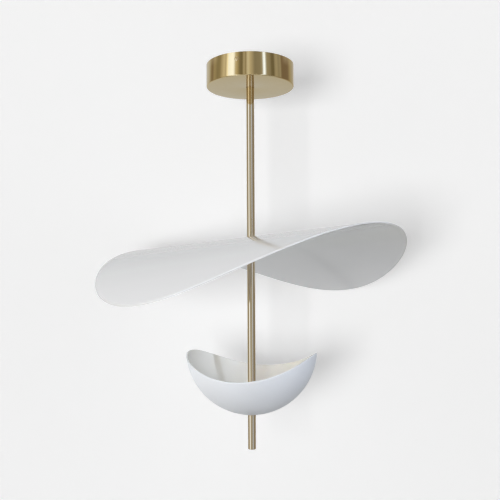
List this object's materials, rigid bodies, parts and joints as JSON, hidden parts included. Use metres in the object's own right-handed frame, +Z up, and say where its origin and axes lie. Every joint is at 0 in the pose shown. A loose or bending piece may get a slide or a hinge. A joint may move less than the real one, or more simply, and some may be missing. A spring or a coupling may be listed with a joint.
{
  "type": "ceiling light",
  "caption": "Stem ceiling light: round ceiling cup, thin stem, large bent round reflector sheet and a saddle-rimmed uplighter bowl with a short tail below.",
  "frame": {"origin": "where the stem's axis meets the ceiling, on the top face of the ceiling plate", "axes": "+Z up along the stem towards the ceiling, -Y towards the viewer of the picture, +X to the viewer's right"},
  "size_m": [0.488, 0.488, 0.6154],
  "materials": {
    "brushed_brass": "satin-brushed brass",
    "petal_paint": "satin white powder coat",
    "bowl_paint": "satin white outside, glossy warm white inside",
    "zinc_steel": "bright zinc plate",
    "sink_aluminium": "cast and turned",
    "driver_case": "fine-grained moulding",
    "block_nylon": "moulded nylon",
    "opal_cover": "opal, half gloss",
    "board_white": "white solder mask",
    "led_phosphor": "yellow phosphor",
    "black_rubber": "moulded",
    "wire_pair": "extruded, red and black",
    "wire_mains": "extruded, brown and blue",
    "wire_earth": "extruded, green and yellow",
    "nylon_washer": "turned nylon"
  },
  "bodies": {
    "stem_frame": {"ceiling_plate": "zinc_steel", "cable_grommet": "black_rubber", "stem_strap": "zinc_steel", "strap_screws": "zinc_steel", "led_driver": "driver_case", "driver_screws": "zinc_steel", "terminal_block": "block_nylon", "terminal_screws": "brushed_brass", "earth_screw": "brushed_brass", "earth_wire": "wire_earth", "mains_wires": "wire_mains", "lamp_wires": "wire_pair", "top_nipple": "brushed_brass", "stem_nut": "zinc_steel", "stem_lock_washer": "zinc_steel", "stem_lock_screw": "zinc_steel", "upper_stem": "brushed_brass", "petal_nipple": "brushed_brass", "lower_stem": "brushed_brass", "dish_nipple": "brushed_brass", "heat_sink": "sink_aluminium", "led_board": "board_white", "led_chips": "led_phosphor", "board_screws": "zinc_steel", "lead_bush": "black_rubber", "diffuser": "opal_cover", "tail_stem": "brushed_brass"},
    "canopy": {"canopy_cup": "brushed_brass", "canopy_nuts": "zinc_steel", "canopy_screws": "brushed_brass"},
    "petal": {"petal_upper_washer": "brushed_brass", "petal": "petal_paint", "petal_lower_washer": "brushed_brass"},
    "bowl": {"dish_inner_washer": "nylon_washer", "dish": "bowl_paint", "dish_outer_washer": "brushed_brass"}
  },
  "joints": [
    {"name": "canopy_slide", "type": "slide", "parent": "stem_frame", "child": "canopy", "axis": [0, 0, 1], "range_m": [-0.235, 0]},
    {"name": "petal_turn", "type": "hinge", "parent": "stem_frame", "child": "petal", "pos_m": [0, 0, -0.277], "axis": [0, 0, 1], "continuous": true},
    {"name": "bowl_turn", "type": "hinge", "parent": "stem_frame", "child": "bowl", "pos_m": [0, 0, -0.5588], "axis": [0, 0, 1], "continuous": true}
  ]
}
